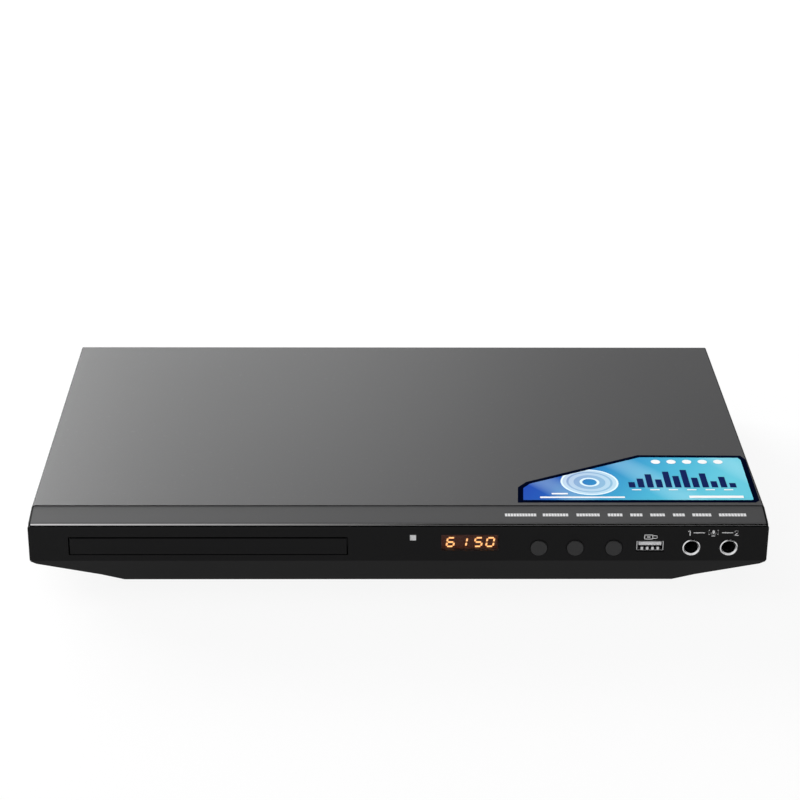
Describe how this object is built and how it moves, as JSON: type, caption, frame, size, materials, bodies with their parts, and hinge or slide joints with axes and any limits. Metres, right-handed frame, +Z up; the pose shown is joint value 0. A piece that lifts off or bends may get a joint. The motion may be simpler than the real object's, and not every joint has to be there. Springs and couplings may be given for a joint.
{
  "type": "disc player",
  "caption": "Slim home disc player with a front loading tray, display, push buttons, a USB socket and microphone jacks.",
  "frame": {"origin": "centre of the bounding box, on the surface that the feet stand on", "axes": "+X to the right seen from the front, -Y out of the front, +Z up"},
  "size_m": [0.36, 0.225, 0.04],
  "materials": {
    "cover_paint": "fine satin paint",
    "zinc_steel": "zinc plated sheet",
    "trim_grey": "satin metallic grey paint",
    "panel_black": "fine matt texture",
    "tinted_window": "smoked clear plastic",
    "white_plastic": "satin",
    "display_case": "satin",
    "button_black": "satin",
    "chrome": "bright",
    "screw_steel": "dark plated",
    "board_green": "solder resist",
    "chip_black": "moulded",
    "aluminium": "extruded",
    "black_plastic": "moulded",
    "grey_plastic": "moulded",
    "rubber": "matt",
    "ribbon_white": "film",
    "lens_glass": "coated",
    "transformer_yellow": "tape",
    "capacitor_sleeve": "shrink sleeve"
  },
  "bodies": {
    "casing": {"bottom_chassis": "zinc_steel", "top_cover": "cover_paint", "rear_panel": "cover_paint", "front_panel": "panel_black", "top_trim": "trim_grey", "feet": "black_plastic", "foot_pads": "rubber", "cover_screws": "screw_steel", "display_window": "tinted_window", "sensor_window": "white_plastic", "sensor_receiver": "chip_black", "led_display": "display_case", "tact_switches": "black_plastic", "front_board": "board_green", "jack_board": "board_green", "usb_socket": "chrome", "usb_tongue": "white_plastic", "mic_jacks": "black_plastic", "mic_rings": "chrome", "main_board": "board_green", "board_chips": "chip_black", "heat_sink": "aluminium", "power_board": "board_green", "power_transformer": "transformer_yellow", "power_capacitors": "capacitor_sleeve", "board_screws": "zinc_steel", "av_jack_block": "black_plastic", "av_jack_sleeves": "chrome", "digital_socket": "zinc_steel", "mains_inlet": "black_plastic", "deck_ribbon": "ribbon_white", "front_ribbon": "ribbon_white", "power_ribbon": "ribbon_white", "loader_frame": "black_plastic", "loading_motor": "zinc_steel", "drive_belt": "rubber", "clamp_bridge": "black_plastic"},
    "tray": {"tray": "black_plastic", "tray_door": "panel_black"},
    "cam_slider": {"cam_slider": "grey_plastic"},
    "drive_gear": {"drive_gear": "white_plastic"},
    "pulley_gear": {"pulley_gear": "white_plastic"},
    "motor_pulley": {"motor_pulley": "white_plastic"},
    "deck": {"deck_frame": "black_plastic", "deck_plate": "zinc_steel", "dampers": "rubber", "damper_screws": "zinc_steel", "spindle_motor": "zinc_steel", "guide_rods": "chrome", "sled_motor": "zinc_steel"},
    "turntable": {"turntable": "black_plastic", "turntable_ring": "rubber"},
    "pickup": {"pickup_sled": "grey_plastic", "pickup_lens": "lens_glass"},
    "sled_gear": {"sled_gear": "white_plastic"},
    "sled_pinion": {"sled_pinion": "white_plastic"},
    "clamper": {"clamper": "white_plastic"},
    "button_1": {"button_1": "button_black"},
    "button_2": {"button_2": "button_black"},
    "button_3": {"button_3": "button_black"}
  },
  "joints": [
    {"name": "tray_slide", "type": "slide", "parent": "casing", "child": "tray", "axis": [0, -1, 0], "range_m": [0, 0.13]},
    {"name": "cam_slide", "type": "slide", "parent": "casing", "child": "cam_slider", "axis": [1, 0, 0], "range_m": [0, 0.018]},
    {"name": "drive_gear_spin", "type": "hinge", "parent": "casing", "child": "drive_gear", "pos_m": [-0.1328, -0.08655, 0.019], "axis": [0, 0, 1], "range_deg": [0, 620.71]},
    {"name": "pulley_gear_spin", "type": "hinge", "parent": "casing", "child": "pulley_gear", "pos_m": [-0.1128, -0.08655, 0.017], "axis": [0, 0, 1], "range_deg": [-1862.12, 0]},
    {"name": "motor_pulley_spin", "type": "hinge", "parent": "casing", "child": "motor_pulley", "pos_m": [-0.0748, -0.08255, 0.017], "axis": [0, 0, 1], "range_deg": [-6916.43, 0]},
    {"name": "deck_tilt", "type": "hinge", "parent": "casing", "child": "deck", "pos_m": [-0.0928, 0.05345, 0.0153], "axis": [1, 0, 0], "range_deg": [0, 2.12]},
    {"name": "turntable_spin", "type": "hinge", "parent": "deck", "child": "turntable", "pos_m": [-0.0928, -0.04455, 0.024], "axis": [0, 0, 1], "continuous": true},
    {"name": "clamper_spin", "type": "hinge", "parent": "casing", "child": "clamper", "pos_m": [-0.0928, -0.04455, 0.032], "axis": [0, 0, 1], "continuous": true},
    {"name": "pickup_slide", "type": "slide", "parent": "deck", "child": "pickup", "axis": [0, 1, 0], "range_m": [0, 0.035]},
    {"name": "sled_gear_spin", "type": "hinge", "parent": "deck", "child": "sled_gear", "pos_m": [-0.0561, 0.00245, 0.021], "axis": [0, 0, 1], "range_deg": [-278.53, 0]},
    {"name": "sled_pinion_spin", "type": "hinge", "parent": "deck", "child": "sled_pinion", "pos_m": [-0.0561, -0.00775, 0.021], "axis": [0, 0, 1], "range_deg": [0, 668.46]},
    {"name": "button_1_press", "type": "slide", "parent": "casing", "child": "button_1", "axis": [0, 1, 0], "range_m": [0, 0.0005], "stiffness_N_per_m": 1500},
    {"name": "button_2_press", "type": "slide", "parent": "casing", "child": "button_2", "axis": [0, 1, 0], "range_m": [0, 0.0005], "stiffness_N_per_m": 1500},
    {"name": "button_3_press", "type": "slide", "parent": "casing", "child": "button_3", "axis": [0, 1, 0], "range_m": [0, 0.0005], "stiffness_N_per_m": 1500}
  ],
  "couplings": [
    {"joint": "cam_slide", "follows": "tray_slide", "ratio": 0.13846},
    {"joint": "drive_gear_spin", "follows": "tray_slide", "rad_per_m": 83.333},
    {"joint": "pulley_gear_spin", "follows": "tray_slide", "rad_per_m": -250},
    {"joint": "motor_pulley_spin", "follows": "tray_slide", "rad_per_m": -928.57},
    {"joint": "deck_tilt", "follows": "tray_slide", "rad_per_m": 0.28391},
    {"joint": "clamper_spin", "follows": "turntable_spin", "ratio": 1},
    {"joint": "sled_gear_spin", "follows": "pickup_slide", "rad_per_m": -138.89},
    {"joint": "sled_pinion_spin", "follows": "pickup_slide", "rad_per_m": 333.33}
  ]
}
